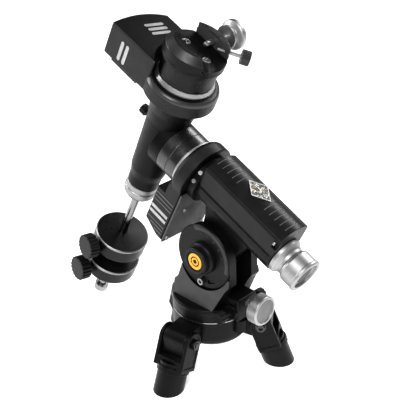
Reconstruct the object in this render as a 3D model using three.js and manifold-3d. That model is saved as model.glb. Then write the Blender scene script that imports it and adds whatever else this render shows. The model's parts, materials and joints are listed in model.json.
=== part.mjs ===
// Compact German equatorial mount head on a tripod head with three short leg stubs.
// Millimetres, +Z up. The azimuth axis is the Z axis and the legs stand on z = 0. Heights below
// are counted from DATUM, a little under the feet.
// The polar (right ascension) axis lies in the XZ plane and rises toward -X.
import * as THREE from 'three';
import { mergeVertices } from 'three/addons/utils/BufferGeometryUtils.js';
import Module from 'manifold-3d';

const wasm = await Module();
wasm.setup();

// ---------------------------------------------------------------- driving dimensions
const GAP = 0.3;                 // working clearance between neighbouring pieces
const DATUM = -12;               // where the heights below are counted from
const LATITUDE = 25.5;           // tilt of the polar axis at rest, degrees
const PIVOT = [14, 0, 203];      // altitude axle, on the line along Y
const RA_HEIGHT = 86;            // polar axis above the altitude axle
const DEC_OFFSET = 163;          // declination axis ahead of the altitude axle

const PEG_X = 58;                // azimuth peg and the screws that bear on it
const PEG_TOP = 131.4;
const AZ_SCREW_Z = 126;
const ALT_SCREW_Z = 137;         // altitude screw, pushes the tail of the polar casting
const HEAD_R = 56;               // tripod head and azimuth base radius
const HEAD_Z = [72, 106];        // tripod head, bottom and top
const BASE_TOP = 127;            // top of the round azimuth base

const LEG_ANGLES = [-83, 37, 157];
const LEG_SPLAY = 21;            // legs lean out from the vertical, degrees
const LEG_TUBE_R = 22.2;         // 1.75 inch steel tube
const LEG_HINGE = [76, 84];      // hinge bolt: radius from the azimuth axis, height
const LEG_FORK_Y = 20;           // inner faces of the fork cheeks
const LEG_CHEEK = 5.5;           // thickness of a fork cheek
const LEG_TOP_R = 17;            // rounding of the leg casting over its hinge
const LEG_LUG_R = 16.5;          // rounding of the lug inside it
const LUG_DROP = 21;             // foot of the lug below the hinge

const YOKE_IN = 16;              // inner faces of the yoke cheeks
const YOKE_OUT = 29;             // outer faces
const DISC_R = 49.5;             // latitude disc
const LOCK_DROP = 38;            // lock screw below the altitude axle
const BLOCK_X = 39;              // half length of the block below the yoke

const RA_BODY_R = 30;            // half width of the polar axis casting
const RA_BODY_Z = [-88, 58];     // casting, along the polar axis from the pivot foot
const RA_RING_R = 47.5;          // gear housing ring
const RA_RING_Z = [69, 93];
const RA_BOX = { half: 43, bottom: -119, bottomFront: -101, top: -38, front: 109 };
const RA_RING_SCALE_R = 38.5;    // silver setting ring and the neck above it
const RA_SCALE_Z = [93.3, 97.5];
const RA_CLUTCH_Z = [97.8, 114];

const DEC_RING_R = 53;
const DEC_BOX = { half: 45, end: -113, bottom: 76, top: 128 };
const DEC_RING_T = [83, 104];
const DEC_STEP_R = 50;           // round clearance in the gear box step
const DEC_SCALE_R = 43;
const DEC_SCALE_T = [104.3, 112];
const DEC_CLUTCH_R = 40;
const SADDLE_R = 44.5;
const SADDLE_T = [141, 153];     // saddle plate, underside and groove floor
const SADDLE_SHOULDER = 160;     // the near jaw leans in above this
const SADDLE_JAW = 170;          // top of both jaws
const SADDLE_JAW_R = 35;         // near jaw at its top
const SADDLE_SCREWS = [-22, 19];
const SADDLE_SCREW_Y = 3;        // middle of the dovetail groove
const CLAMP_T = 160;             // saddle clamp screws
const GROOVE = { foot: [-25, 31], top: [-21.5, 29.5] };    // faces of the two jaws
const GROOVE_FLOOR = [-21, 29];  // flat floor between the relief channels under the jaws
const RELIEF = 0.8;              // depth of those channels

const WEIGHT_R = 42.5;
const WEIGHT_TOPS = [-220, -274];
const WEIGHT_H = 27;
const WEIGHT_KNOB_TURN = 10;     // lock knobs point this far from -Y toward the pole
const SHAFT_R = 6.2;             // counterweight shaft
const SHAFT_END = -362;

const DEC_KNOB_T = 8;            // declination lock knob, above the polar axis
const SAFETY_TURN = 49;          // safety screw leans this far from the clamp screw

const WALL = 3;
const WORM_R = 6;
const WHEEL_R = { ra: 35, dec: 38 };

// ---------------------------------------------------------------- materials
const finish = (color, roughness, metalness) =>
  new THREE.MeshStandardMaterial({ color, roughness, metalness });
const BLACK = finish('#17181a', 0.5, 0.2);
const CASTING = finish('#232528', 0.55, 0.3);
const GREY = finish('#3a3c3f', 0.5, 0.4);
const DARK_METAL = finish('#2b2d30', 0.35, 0.8);
const SILVER = finish('#c9cbcd', 0.3, 0.9);
const STEEL = finish('#9a9da1', 0.3, 0.9);
const BRASS = finish('#b08d4a', 0.35, 0.9);
const ORANGE = finish('#e0a030', 0.4, 0.3);
const GREEN = finish('#1f5a35', 0.6, 0);

// ---------------------------------------------------------------- geometry helpers
const rad = THREE.MathUtils.degToRad;

/** Turns a closed three.js geometry, or a solid, into a solid that can be joined and cut. */
function solid(shape) {
  if (!shape.isBufferGeometry) return shape;
  const bare = shape.index ? shape.toNonIndexed() : shape.clone();
  bare.deleteAttribute('normal');
  bare.deleteAttribute('uv');
  const merged = mergeVertices(bare, 1e-4);
  const index = merged.index.array;
  const kept = [];
  for (let i = 0; i < index.length; i += 3) {
    const [a, b, c] = [index[i], index[i + 1], index[i + 2]];
    if (a !== b && b !== c && c !== a) kept.push(a, b, c);
  }
  return new wasm.Manifold(new wasm.Mesh({
    numProp: 3,
    vertProperties: new Float32Array(merged.attributes.position.array),
    triVerts: new Uint32Array(kept),
  }));
}

const join = (first, ...rest) => rest.reduce((sum, piece) => sum.add(solid(piece)), solid(first));
const cut = (first, ...rest) => rest.reduce((left, tool) => left.subtract(solid(tool)), solid(first));
const common = (first, second) => solid(first).intersect(solid(second));

/** Gives a solid back as a flat-shaded three.js geometry. */
function geometryOf(shape) {
  const mesh = solid(shape).getMesh();
  const geometry = new THREE.BufferGeometry();
  geometry.setAttribute('position', new THREE.BufferAttribute(new Float32Array(mesh.vertProperties), 3));
  geometry.setIndex(new THREE.BufferAttribute(new Uint32Array(mesh.triVerts), 1));
  geometry.computeVertexNormals();
  return geometry;
}

/** Revolves a profile of [radius, z] points about Z. */
function turned(profile, segments = 28) {
  const points = profile.map(([r, z]) => new THREE.Vector2(r, z));
  if (THREE.ShapeUtils.area(points) < 0) points.reverse();
  return new THREE.LatheGeometry(points, segments).rotateX(Math.PI / 2);
}

/** Cylinder or cone about Z between two heights. */
function rod(radius, z0, z1, segments = 26, topRadius = radius) {
  return new THREE.CylinderGeometry(topRadius, radius, z1 - z0, segments)
    .rotateX(Math.PI / 2).translate(0, 0, (z0 + z1) / 2);
}

/** Ring about Z. */
const ring = (outer, inner, z0, z1, segments = 28) =>
  cut(rod(outer, z0, z1, segments), rod(inner, z0 - 1, z1 + 1, segments));

/** Box from its low and high limits. */
const box = (x0, x1, y0, y1, z0, z1) =>
  new THREE.BoxGeometry(x1 - x0, y1 - y0, z1 - z0)
    .translate((x0 + x1) / 2, (y0 + y1) / 2, (z0 + z1) / 2);

/** Extrudes an outline of [x, y] points or a THREE.Shape along Z. */
function plate(outline, z0, z1, curveSegments = 10) {
  const shape = Array.isArray(outline)
    ? new THREE.Shape(outline.map(([x, y]) => new THREE.Vector2(x, y))) : outline;
  return new THREE.ExtrudeGeometry(shape, { depth: z1 - z0, bevelEnabled: false, curveSegments })
    .translate(0, 0, z0);
}

const alongX = (g) => plain(g).rotateY(Math.PI / 2);      // +Z becomes +X
const alongY = (g) => plain(g).rotateX(-Math.PI / 2);     // +Z becomes +Y
const alongMinusY = (g) => plain(g).rotateX(Math.PI / 2); // +Z becomes -Y

/** Any shape as a geometry that can be turned and placed. */
function plain(shape) {
  return shape.isBufferGeometry ? shape : geometryOf(shape);
}

/** Extrudes a side view of [x, z] points across Y. */
const sidePlate = (outline, y0, y1) => plate(outline, -y1, -y0).rotateX(Math.PI / 2);

/** Points on an arc, as [x, y] pairs, angles in degrees. */
function arc(cx, cy, radius, from, to, steps) {
  const points = [];
  for (let i = 0; i <= steps; i += 1) {
    const a = rad(from + (to - from) * i / steps);
    points.push([cx + radius * Math.cos(a), cy + radius * Math.sin(a)]);
  }
  return points;
}

/** Socket-head cap screw along +Z, its seat at z = 0. */
function capScrew(radius, length) {
  const head = cut(rod(radius, 0, radius * 1.2, 16),
    rod(radius * 0.55, radius * 0.5, radius * 1.2 + 1, 6));
  return join(head, rod(radius * 0.5, -length, 0.1, 10));
}

/** Round knob with flutes round its rim, about Z. */
function flutedKnob(radius, z0, z1, flutes, depth) {
  const outline = [];
  const steps = flutes * 4;
  for (let i = 0; i < steps; i += 1) {
    const r = radius - (i % 4 === 0 ? depth : 0);
    const a = 2 * Math.PI * i / steps;
    outline.push([r * Math.cos(a), r * Math.sin(a)]);
  }
  return plate(outline, z0, z1);
}

/** Toothed wheel about Z. */
function gear(radius, bore, z0, z1, teeth) {
  const outline = [];
  for (let i = 0; i < teeth * 2; i += 1) {
    const r = i % 2 ? radius : radius * 0.95;
    const a = Math.PI * i / teeth;
    outline.push([r * Math.cos(a), r * Math.sin(a)]);
  }
  return cut(plate(outline, z0, z1), rod(bore, z0 - 1, z1 + 1, 18));
}

// ---------------------------------------------------------------- scene graph helpers

function group(parent, position = [0, 0, 0], rotation = [0, 0, 0]) {
  const g = new THREE.Group();
  g.position.set(...position);
  g.rotation.set(...rotation.map(rad));
  parent.add(g);
  return g;
}

const whole = new THREE.Group();
const mount = group(whole, [0, 0, DATUM]);

function part(parent, name, shape, material) {
  const mesh = new THREE.Mesh(geometryOf(shape), material);
  mesh.name = name;
  parent.add(mesh);
  return mesh;
}

// ---------------------------------------------------------------- tripod
/** Tripod head: round casting with three knuckles that the leg forks straddle. */
function tripodHead() {
  const [bottom, top] = HEAD_Z;
  const bowl = turned([[0, bottom - 12], [20, bottom - 12], [46, bottom - 10], [54, bottom - 3],
    [HEAD_R, bottom + 5], [HEAD_R, top - GAP], [0, top - GAP]], 28);
  const [hingeR, hingeZ] = LEG_HINGE;
  const half = LEG_FORK_Y - 0.6;
  const knuckles = LEG_ANGLES.map((angle) => {
    const outline = [[30, bottom + 2], [hingeR - 14, hingeZ - LUG_DROP],
      [hingeR + LEG_LUG_R, hingeZ - LUG_DROP], ...arc(hingeR, hingeZ, LEG_LUG_R, 0, 75, 6),
      [54, top - 5], [30, top - 5]];
    return alongMinusY(plate(outline, -half, half)).rotateZ(rad(angle));
  });
  const bores = LEG_ANGLES.map((angle) =>
    alongY(rod(5, -40, 40, 12)).translate(hingeR, 0, hingeZ).rotateZ(rad(angle)));
  const pegBoss = rod(10, top - 20, top - GAP, 18).translate(PEG_X, 0, 0);
  return cut(join(bowl, ...knuckles, pegBoss), ...bores, rod(8.5, 0, 200, 18),
    rod(26, 0, bottom + 12, 26), rod(5.3, top - 15, 200, 16).translate(PEG_X, 0, 0));
}

/** Fork casting at the top of a leg, in leg axes: hinge at the origin, leg along -Z. */
function legSocket() {
  const side = [[-17, -44], [17, -44], ...arc(0, 0, LEG_TOP_R, 0, 180, 10)];
  const inner = LEG_FORK_Y;
  const outer = LEG_FORK_Y + LEG_CHEEK;
  const cheeks = [[-outer, -inner], [inner, outer]].map(([y0, y1]) =>
    alongMinusY(plate(side, y0, y1)));
  const floor = box(-17, 17, -outer, outer, -44, -28);
  const sleeve = rod(25.4, -50, -40, 22);
  const tubeHole = rod(LEG_TUBE_R + GAP, -60, -34, 22);
  const bolt = alongY(rod(5, -40, 40, 12));
  return cut(join(cheeks[0], cheeks[1], floor, sleeve), tubeHole, bolt);
}

function addLeg(parent, number, angle) {
  const hinge = group(parent, [0, 0, 0], [0, 0, angle]);
  const leg = group(hinge, [LEG_HINGE[0], 0, LEG_HINGE[1]], [0, -LEG_SPLAY, 0]);
  part(leg, `leg_socket_${number}`, legSocket(), BLACK);
  const length = (LEG_HINGE[1] + DATUM) / Math.cos(rad(LEG_SPLAY));
  const floor = box(-60, 60, -60, 60, -60, 0).rotateY(rad(LEG_SPLAY)).translate(0, 0, -length);
  part(leg, `leg_tube_${number}`,
    cut(ring(LEG_TUBE_R, LEG_TUBE_R - 2, -length - 20, -34.3, 22), floor), BLACK);
  const reach = LEG_FORK_Y + LEG_CHEEK + GAP;
  const shank = rod(4.6, -reach - 7, reach + 0.5, 12);
  const head = cut(rod(8, reach, reach + 6, 16), rod(4, reach + 3, reach + 7, 6));
  const nut = rod(8, -reach - 6, -reach, 6);
  part(hinge, `leg_bolt_${number}`, alongMinusY(geometryOf(join(shank, head, nut)))
    .translate(LEG_HINGE[0], 0, LEG_HINGE[1]), STEEL);
}

function addTripod() {
  part(mount, 'tripod_head', tripodHead(), BLACK);
  LEG_ANGLES.forEach((angle, i) => addLeg(mount, i + 1, angle));
  const [bottom] = HEAD_Z;
  const bolt = join(rod(8, bottom + 2, BASE_TOP - 8, 16), rod(14, bottom - 2, bottom + 7, 6),
    rod(24, bottom + 7, bottom + 11.6, 22));
  part(mount, 'azimuth_bolt', bolt, STEEL);
  part(mount, 'azimuth_peg', rod(5, HEAD_Z[1] - 14.7, PEG_TOP, 16).translate(PEG_X, 0, 0), STEEL);
}

// ---------------------------------------------------------------- azimuth head and yoke
/** Side view of the yoke: latitude disc above the shoulders of the block it stands on. */
function yokeOutline() {
  const [px, , pz] = PIVOT;
  return [[-BLOCK_X, BASE_TOP - 1], [BLOCK_X, BASE_TOP - 1], [BLOCK_X + 18, 163], [px + DISC_R, 172],
    ...arc(px, pz, DISC_R - 1.5, 0, 210, 16), [-BLOCK_X + 6, 155], [-BLOCK_X, 149]];
}

/** Both cheeks of the yoke and the block below them, its faces leaning in to the discs. */
function yokeBody() {
  const [px, , pz] = PIVOT;
  const half = [[41, BASE_TOP - 2], [YOKE_OUT + 2, 182], [YOKE_OUT, 184], [YOKE_OUT, 260]];
  const section = [...half, ...half.map(([y, z]) => [-y, z]).reverse()];
  const body = common(sidePlate(yokeOutline(), -60, 60),
    alongX(plate(section.map(([y, z]) => [-z, y]), -80, 80)));
  const recesses = [[-80, -YOKE_OUT], [YOKE_OUT, 80]].map(([y0, y1]) =>
    alongY(rod(DISC_R + 0.6, y0, y1, 28)).translate(px, 0, pz));
  const gap = box(-60, 42, -YOKE_IN, YOKE_IN, BASE_TOP + 1, 300);
  const rearGap = box(41, 80, -YOKE_IN, YOKE_IN, 150, 300);
  const bore = alongY(rod(8 + GAP, -60, 60, 16)).translate(px, 0, pz);
  return cut(body, ...recesses, gap, rearGap, bore);
}

/** Azimuth head: round base, yoke and the rear tower that holds the adjusting screws. */
function azimuthHead() {
  const [px, , pz] = PIVOT;
  const disc = turned([[0, HEAD_Z[1]], [HEAD_R, HEAD_Z[1]], [HEAD_R + 0.6, BASE_TOP - 2],
    [HEAD_R - 1, BASE_TOP], [0, BASE_TOP]], 28);
  const tower = join(box(36, 71, -20, 20, 112, 148), alongY(rod(11.5, -23, 23, 16))
    .translate(PEG_X, 0, AZ_SCREW_Z));
  const slot = box(46, 66, -14.5, 14.5, 100, 132);
  const screwBore = alongY(rod(4.3, -40, 40, 12)).translate(PEG_X, 0, AZ_SCREW_Z);
  const tailRoom = box(-60, 42, -YOKE_IN, YOKE_IN, BASE_TOP + 1, 200);
  const altitudeBore = alongX(rod(5.2, 20, 90, 16)).translate(0, 0, ALT_SCREW_Z);
  const lockBore = alongY(rod(2.9, -60, -YOKE_OUT + 8, 12)).translate(px, 0, pz - LOCK_DROP);
  return cut(join(disc, yokeBody(), tower), slot, screwBore, tailRoom, altitudeBore, lockBore,
    rod(8.3, 90, 200, 16), rod(17, BASE_TOP - 7, 200, 6));
}

function addAzimuthHead() {
  const [px, , pz] = PIVOT;
  part(mount, 'azimuth_head', azimuthHead(), CASTING);
  // In the group below, Z points to the near side and Y up.
  const side = group(mount, [px, 0, pz], [90, 0, 0]);
  const face = YOKE_OUT + GAP;
  part(side, 'latitude_disc', cut(turned([[0, face], [DISC_R, face], [DISC_R, face + 1.5],
    [DISC_R - 1.5, face + 3], [0, face + 3]], 28), rod(8.3, 0, 60, 16),
  rod(2.9, 0, 60, 12).translate(0, -LOCK_DROP, 0)), CASTING);
  part(side, 'altitude_cap', turned([[0, face + 10], [9, face + 10], [9, face + 3.3],
    [24, face + 3.3], [24, face + 9], [22, face + 11], [20.5, face + 11], [20.5, face + 18.5],
    [19, face + 20], [15, face + 20], [15, face + 18.5], [0, face + 18.5]], 22), BLACK);
  part(side, 'altitude_badge', rod(14.6, face + 18.8, face + 19.8, 22), ORANGE);
  part(side, 'latitude_lock_screw', plain(capScrew(5.2, 8)).translate(0, -LOCK_DROP, face + 3.3),
    SILVER);
  part(side, 'altitude_axle', join(rod(8, -YOKE_OUT - 2, face + 9, 16),
    rod(14, -YOKE_OUT - 9, -YOKE_OUT - GAP, 6)), STEEL);
  part(side, 'altitude_nut_cover', turned([[0, -47], [18, -47], [21, -44], [21, -face], [17, -face],
    [17, -41], [0, -41]], 22), BLACK);

  const grip = turned([[0, 87], [21.5, 87], [22.2, 88], [22.2, 103.5], [21.5, 104.5], [18, 104.5],
    [18, 102.5], [0, 102.5]], 26);
  part(mount, 'altitude_knob', alongX(join(rod(4.9, 30, 88, 16), grip))
    .translate(0, 0, ALT_SCREW_Z), SILVER);
  const knob = () => join(rod(4, 5.6, 37, 12), flutedKnob(9, 36, 48, 8, 1));
  part(mount, 'azimuth_knob_near', alongMinusY(knob()).translate(PEG_X, 0, AZ_SCREW_Z), BLACK);
  part(mount, 'azimuth_knob_far', alongY(knob()).translate(PEG_X, 0, AZ_SCREW_Z), BLACK);
}

// ---------------------------------------------------------------- polar axis, fixed side
// In the polar axes Z runs along the axis toward the pole and X points up to the saddle.

/** Casting round the polar axis, with the lug and tail that swing in the yoke. */
function raCasting() {
  const [rear, front] = RA_BODY_Z;
  const r = RA_BODY_R - 1.5;
  const tube = plate([[10, r], ...arc(0, 0, r, 90, 270, 16), [10, -r]], rear, front);
  const neck = rod(36, front - 1, RA_RING_Z[0] - GAP, 26);
  const t = YOKE_IN - 0.7;
  const lug = sidePlate([[-16, 46], [-40, 36], ...arc(-RA_HEIGHT, 0, 30, 75, 285, 16), [-40, -38],
    [-16, -50]], -t, t);
  const tail = plain(box(-14, 14, -t + 2, t - 2, -70, 0)).rotateY(rad(90 - LATITUDE))
    .translate(-RA_HEIGHT, 0, 0);
  const axle = alongY(rod(8 + GAP, -40, 40, 16)).translate(-RA_HEIGHT, 0, 0);
  return cut(join(tube, neck, lug, tail), rod(23, -100, 100, 26), axle);
}

/** Section of the hood, from its low edge up over the crown. */
const hoodSection = (half, low, shoulder, crown) => [[low, -half], [shoulder - 5, -half],
  [shoulder - 1.5, -half + 1.5], [shoulder, -half + 5], [crown - 1.4, -half * 0.45], [crown, 0],
  [crown - 1.4, half * 0.45], [shoulder, half - 5], [shoulder - 1.5, half - 1.5],
  [shoulder - 5, half], [low, half]];

/** Hollow hood over the polar casting. */
function raCover() {
  const [rear, front] = RA_BODY_Z;
  const shell = plate(hoodSection(RA_BODY_R, 10 + GAP, 43, 50), rear - 0.5, front - 1 - GAP);
  const inside = hoodSection(RA_BODY_R - WALL, 9, 43 - WALL, 50 - WALL);
  return cut(shell, plate(inside, rear + WALL, front - WALL - 2), rod(20, rear - 10, front, 18));
}

/** Keyhole housing round a worm wheel: a ring with a deeper box beside it, open at the rear. */
function keyhole({ ringR, ringZ, boxSide, boxZ, clearR, stepX, trims = () => [] }) {
  const [rear, front] = ringZ;
  const [boxRear, boxFront] = boxZ;
  const ringBody = turned([[0, rear], [ringR, rear], [ringR, front - 7], [ringR - 2, front - 2.5],
    [ringR - 6, front], [0, front]], 28);
  const step = (margin) => [rod(clearR + margin, front - margin, boxFront + 1, 28),
    box(stepX - margin, 100, -100, 100, front - margin, boxFront + 1), ...trims(margin)];
  const boxBody = cut(plate(boxSide, boxRear, boxFront), ...step(0));
  const inside = boxSide.map(([x, y]) => [x < -60 ? x + WALL : x, y * 0.92]);
  const hollow = cut(plate(inside, boxRear - 1, boxFront - WALL), ...step(WALL));
  const chamber = rod(ringR - 6, rear + WALL, front - WALL - 1, 28);
  return cut(join(ringBody, boxBody), hollow, chamber, rod(24, boxRear - 1, boxFront + 1, 26));
}

function raGearHousing() {
  const { half, bottom, bottomFront, top, front } = RA_BOX;
  const [rear] = RA_RING_Z;
  const side = [[bottom + 4, -half], [-14, -half], [-14, half], [bottom + 4, half],
    [bottom, half - 4], [bottom, -half + 4]];
  const trims = (margin) => [sidePlate([[bottom - 60, rear - 9], [bottom + margin, rear - 9],
    [bottom + margin, rear], [bottomFront + margin, front], [bottomFront + margin, front + 9],
    [bottom - 60, front + 9]], -100, 100)];
  return keyhole({ ringR: RA_RING_R, ringZ: RA_RING_Z, boxSide: side, boxZ: [rear, front],
    clearR: RA_RING_SCALE_R + 3, stepX: top, trims });
}

function addPolarFixed(ra) {
  const [rear, front] = RA_BODY_Z;
  part(ra, 'ra_housing', raCasting(), CASTING);
  part(ra, 'ra_cover', raCover(), GREY);
  const badge = [[-22, 0], [0, -17], [22, 0], [0, 17]];
  part(ra, 'ra_badge', alongX(plate(badge, 50.3, 51.3)).translate(0, 2, -14), SILVER);
  part(ra, 'circuit_board', box(24, 25.6, -22, 22, rear + 12, front - 14), GREEN);
  part(ra, 'ra_gear_housing', raGearHousing(), CASTING);
  const { half, bottom } = RA_BOX;
  const plateZ = RA_RING_Z[0] - GAP;
  part(ra, 'ra_gear_plate', cut(box(bottom + 1, -20, -half + 1, half - 1, plateZ - WALL, plateZ),
    rod(36.5, 60, 90, 28)), GREY);
  part(ra, 'polar_flange', cut(turned([[0, rear - 1], [27, rear - 1], [27, rear - 7], [25, rear - 10],
    [23.5, rear - 17], [20.5, rear - 17], [20.5, rear - 25], [0, rear - 25]], 26),
  rod(18.5, -200, 0, 22)), SILVER);
  part(ra, 'polar_cap', turned([[0, rear - 38], [21, rear - 38], [21, rear - 17.3],
    [25, rear - 17.3], [25.5, rear - 19],
    [25.5, rear - 40], [26.3, rear - 41], [26.3, rear - 44], [25, rear - 45.5], [21, rear - 45.5],
    [20, rear - 42], [0, rear - 42]], 26), SILVER);
}

/** Drive that turns a worm wheel: motor with pinion shaft, worm with its gear, bearing block. */
function addDrive(parent, prefix, wheelRadius, level) {
  const across = -(wheelRadius + WORM_R + 0.5);
  const worm = join(rod(WORM_R, -13, 13, 16), rod(2.9, -33, 36, 12), gear(9, 2, 27, 32, 12));
  part(parent, `${prefix}_worm`, alongY(worm).translate(across, 0, level), STEEL);
  const carrier = join(box(-11, 8, -25, -17, -8, 8), box(-11, 8, 17, 25, -8, 8),
    box(-11, -8.5, -25, 25, -8, 8));
  part(parent, `${prefix}_worm_carrier`, plain(cut(carrier, alongY(rod(3.2, -40, 40, 12))))
    .translate(across, 0, level), GREY);
  const motor = join(rod(12, -34, 20, 16), rod(2, 18, 33, 10));
  part(parent, `${prefix}_motor`, alongY(motor).translate(across - 24, 0, level + 2), DARK_METAL);
}

// ---------------------------------------------------------------- turning with the polar axis
/** Declination casting: tapered tube, neck to the polar shaft and seat for the gear housing. */
function decHousing() {
  const seat = DEC_RING_T[0] - GAP;
  const tube = turned([[0, -100], [24, -100], [24.5, -82], [27.5, -68], [28.5, -40], [31, 30],
    [34, 50], [39, 66], [40, seat], [0, seat]], 26);
  const neck = alongX(rod(38, 12, DEC_OFFSET - RA_CLUTCH_Z[1] - GAP, 26));
  const knobBore = alongX(rod(3.2, -60, 0, 12)).translate(0, 0, DEC_KNOB_T);
  return cut(join(tube, neck), rod(18.2, -110, 100, 22), knobBore);
}

function decGearHousing() {
  const { half, end, bottom, top } = DEC_BOX;
  const endArc = new THREE.QuadraticBezierCurve(new THREE.Vector2(end + 17, half),
    new THREE.Vector2(end - 8, half * 0.25), new THREE.Vector2(end, -half));
  const side = [...endArc.getPoints(8).map((p) => [p.x, p.y]), [-24, -half], [-24, half]];
  return keyhole({ ringR: DEC_RING_R, ringZ: DEC_RING_T, boxSide: side, boxZ: [bottom, top],
    clearR: DEC_STEP_R, stepX: -14 });
}

/** Counterweight with a coned top, bored for the shaft and drilled for its lock screw. */
function counterweight(top) {
  const body = turned([[0, top + 8], [9, top + 8], [22, top], [WEIGHT_R - 1.5, top],
    [WEIGHT_R, top - 1.5], [WEIGHT_R, top - WEIGHT_H + 1.5], [WEIGHT_R - 1.5, top - WEIGHT_H],
    [0, top - WEIGHT_H]], 26);
  const screwHole = alongMinusY(rod(4.3, 0, 60, 12)).translate(0, 0, top - WEIGHT_H / 2)
    .rotateZ(rad(-WEIGHT_KNOB_TURN));
  return cut(body, rod(SHAFT_R + GAP, top - 60, top + 20, 16), screwHole);
}

function addCounterweights(dec) {
  part(dec, 'cw_collar', cut(turned([[0, -100.3], [24, -100.3], [24, -110], [25, -111], [25, -119],
    [22.5, -124], [0, -124]], 26), rod(SHAFT_R + GAP, -200, -110, 16), rod(17, -111, 0, 18)), SILVER);
  part(dec, 'cw_shaft', join(rod(SHAFT_R, SHAFT_END + 2, -110.4, 16), rod(11, -110.7, -104, 16)),
    STEEL);
  part(dec, 'cw_toe_nut', cut(rod(11, SHAFT_END - 1, SHAFT_END + 11, 16),
    rod(SHAFT_R + GAP, SHAFT_END + 2 - GAP, 0, 16)), SILVER);
  WEIGHT_TOPS.forEach((top, i) => {
    const name = i ? 'lower' : 'upper';
    part(dec, `counterweight_${name}`, counterweight(top), CASTING);
    const knob = join(rod(4, SHAFT_R + GAP, 52, 12), flutedKnob(19.5, 50, 66, 14, 1.2));
    part(dec, `cw_lock_knob_${name}`, alongMinusY(knob).rotateZ(rad(-WEIGHT_KNOB_TURN))
      .translate(0, 0, top - WEIGHT_H / 2), BLACK);
  });
}

function addPolarMoving(ra, dec) {
  const [scaleLow, scaleHigh] = RA_SCALE_Z;
  const [clutchLow, clutchHigh] = RA_CLUTCH_Z;
  part(ra, 'ra_shaft', cut(join(rod(17, RA_BODY_Z[0] + 2, clutchHigh - GAP, 22),
    rod(32, clutchLow + 1, clutchHigh - GAP, 26)), rod(12, -200, 200, 18)), STEEL);
  part(ra, 'ra_setting_ring', ring(RA_RING_SCALE_R, 24, scaleLow, scaleHigh), SILVER);
  part(ra, 'ra_clutch_ring', ring(38, 32.4, clutchLow, clutchHigh), DARK_METAL);
  part(ra, 'ra_worm_wheel', gear(WHEEL_R.ra, 17.3, 75, 84, 26), BRASS);
  part(dec, 'dec_housing', decHousing(), CASTING);
  part(dec, 'dec_gear_housing', decGearHousing(), CASTING);
  const { half, end, bottom } = DEC_BOX;
  part(dec, 'dec_gear_plate', box(end + 16, -44, -half + 2, half - 2, bottom - GAP - WALL,
    bottom - GAP), GREY);
  const knob = join(rod(3, 19, 40, 12), flutedKnob(8, 38, 48, 8, 1));
  part(dec, 'dec_clutch_knob', alongX(knob).rotateZ(Math.PI).translate(0, 0, DEC_KNOB_T), BLACK);
  addCounterweights(dec);
}

// ---------------------------------------------------------------- turning with declination
/** Saddle: round plate with two raised jaws and a dovetail groove along X between them. */
function saddlePlate() {
  const [low, floor] = SADDLE_T;
  const body = turned([[0, low], [SADDLE_R - 1.5, low], [SADDLE_R, low + 1.5],
    [SADDLE_R, SADDLE_SHOULDER], [SADDLE_JAW_R, SADDLE_JAW], [0, SADDLE_JAW]], 28);
  const farJaw = common(rod(SADDLE_R - 1, floor, SADDLE_JAW, 28), box(-60, 60, 20, 60, 100, 200));
  const [nearFoot, farFoot] = GROOVE.foot;
  const [nearTop, farTop] = GROOVE.top;
  const [nearFloor, farFloor] = GROOVE_FLOOR;
  const groove = alongX(plate([[nearFoot, floor - RELIEF], [nearFloor, floor - RELIEF],
    [nearFloor, floor], [farFloor, floor], [farFloor, floor - RELIEF], [farFoot, floor - RELIEF],
    [farTop, SADDLE_JAW], [farTop, SADDLE_JAW + 1], [nearTop, SADDLE_JAW + 1], [nearTop, SADDLE_JAW]]
    .map(([y, z]) => [-z, y]), -60, 60));
  const screws = SADDLE_SCREWS.flatMap((x) => [
    rod(3.6, low - 1, floor, 12).translate(x, SADDLE_SCREW_Y, 0),
    rod(7.2, floor - 7.8, floor + 1, 18).translate(x, SADDLE_SCREW_Y, 0)]);
  const clampBore = alongY(rod(4.3, 0, 60, 12)).translate(0, 0, CLAMP_T);
  return cut(join(body, farJaw), groove, ...screws, clampBore, safetyScrew(rod(2.9, 0, 60, 12)));
}

/** Places a shape made along Z on the axis of the safety screw in the far jaw. */
const safetyScrew = (shape) => alongY(shape).rotateZ(rad(-SAFETY_TURN)).translate(9, 21.5, CLAMP_T);

function addDeclination(dec) {
  const clutchTop = SADDLE_T[0] - GAP;
  part(dec, 'dec_shaft', join(rod(12, -98, 110, 18), rod(19.5, 109, clutchTop, 18)), STEEL);
  part(dec, 'dec_worm_wheel', gear(WHEEL_R.dec, 12.3, 86.5, 95.5, 28), BRASS);
  const [scaleLow, scaleHigh] = DEC_SCALE_T;
  part(dec, 'dec_setting_ring', cut(turned([[0, scaleLow], [DEC_SCALE_R, scaleLow],
    [DEC_SCALE_R, scaleLow + 2.5], [DEC_SCALE_R - 2, scaleHigh], [0, scaleHigh]]),
  rod(25, 0, 200, 22)), SILVER);
  part(dec, 'dec_clutch_ring', ring(DEC_CLUTCH_R, 20, scaleHigh + GAP, clutchTop), BLACK);
  part(dec, 'saddle', saddlePlate(), CASTING);
  SADDLE_SCREWS.forEach((x, i) => {
    part(dec, `saddle_screw_${i + 1}`, plain(capScrew(6.5, 3.8)).translate(x, SADDLE_SCREW_Y, SADDLE_T[1] - 7.5),
      SILVER);
  });
  const spool = turned([[0, 56], [17, 56], [17, 58], [13, 61], [13, 64], [20, 67], [21.5, 68.5],
    [21.5, 74], [20, 75.5], [0, 75.5]], 26);
  part(dec, 'saddle_clamp_knob', alongY(join(rod(4, 18, 60, 12), spool)).translate(0, 0, CLAMP_T),
    SILVER);
  const grip = flutedKnob(10.5, 40, 52, 10, 1);
  part(dec, 'saddle_safety_knob', safetyScrew(join(rod(2.6, 6, 42, 12), grip)), GREY);
}

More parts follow.
